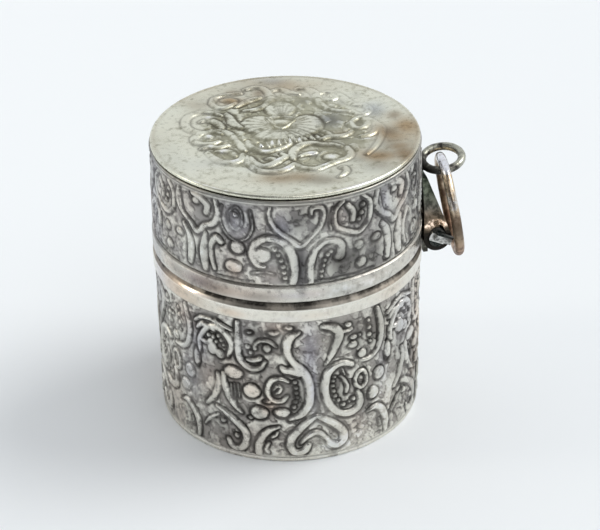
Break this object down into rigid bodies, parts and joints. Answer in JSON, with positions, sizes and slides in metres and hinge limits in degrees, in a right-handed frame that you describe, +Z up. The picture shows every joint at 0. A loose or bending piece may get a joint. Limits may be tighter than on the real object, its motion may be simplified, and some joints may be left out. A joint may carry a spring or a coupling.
{
  "type": "thimble case",
  "caption": "Small round silver thimble case: a hinged drum with chased scrolls, a slip-over lid, a suspension eye and a loose jump ring.",
  "frame": {"origin": "centre of the base's underside", "axes": "+Z up through the closed lid; +X from the drum's axis to the hinge"},
  "size_m": [0.0315, 0.0266, 0.0295],
  "materials": {
    "worn_silver": "worn silver, softly polished by handling",
    "chased_silver": "silver, darkened in the recesses of the chasing",
    "inner_silver": "plain silver, slightly toned",
    "tarnished_silver": "dark grey tarnish on silver",
    "warm_tarnished_silver": "warm brown tarnish on silver, bright where it rubs"
  },
  "bodies": {
    "body": {"base_disc": "inner_silver", "body_wall": "chased_silver", "body_rim_moulding": "worn_silver", "inner_collar": "inner_silver", "body_hinge_leaf": "tarnished_silver", "hinge_pin": "tarnished_silver"},
    "lid": {"lid_wall": "chased_silver", "lid_top": "worn_silver", "lid_hinge_leaf": "tarnished_silver", "suspension_eye": "tarnished_silver"},
    "ring": {"jump_ring": "warm_tarnished_silver"}
  },
  "joints": [
    {"name": "lid_hinge", "type": "hinge", "parent": "body", "child": "lid", "pos_m": [0.01405, 0, 0.0183], "axis": [0, 1, 0], "range_deg": [0, 110]},
    {"name": "ring_swing", "type": "hinge", "parent": "lid", "child": "ring", "pos_m": [0.01548, -0.0019, 0.02413], "axis": [-0.9767, 0.1425, -0.1602], "range_deg": [0, 110]}
  ],
  "couplings": [
    {"joint": "ring_swing", "follows": "lid_hinge", "ratio": 1}
  ]
}
